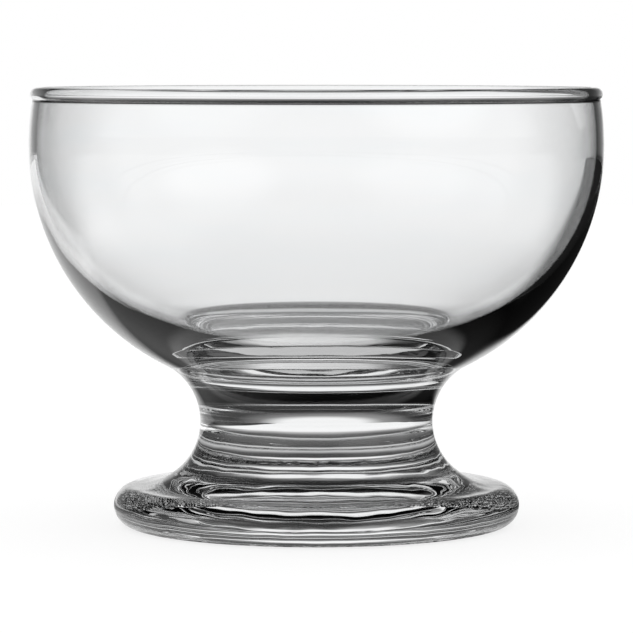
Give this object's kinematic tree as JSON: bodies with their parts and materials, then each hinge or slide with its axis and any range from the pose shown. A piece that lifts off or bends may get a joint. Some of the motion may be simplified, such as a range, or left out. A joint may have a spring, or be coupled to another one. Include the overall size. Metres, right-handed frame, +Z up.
{
  "type": "dessert bowl",
  "caption": "Footed dessert bowl in clear glass: a wide thin-walled round bowl on a short solid stem and a thick round foot, for serving fruit, ice cream and other desserts.",
  "frame": {"origin": "centre of the flat ring under the foot, on the table", "axes": "+Z up along the axis that the bowl is turned about; the shape is the same all round"},
  "size_m": [0.108, 0.108, 0.0825],
  "materials": {
    "clear_glass": "clear, fire-polished"
  },
  "bodies": {
    "root": {"bowl": "clear_glass", "stem": "clear_glass", "foot": "clear_glass"}
  },
  "joints": []
}
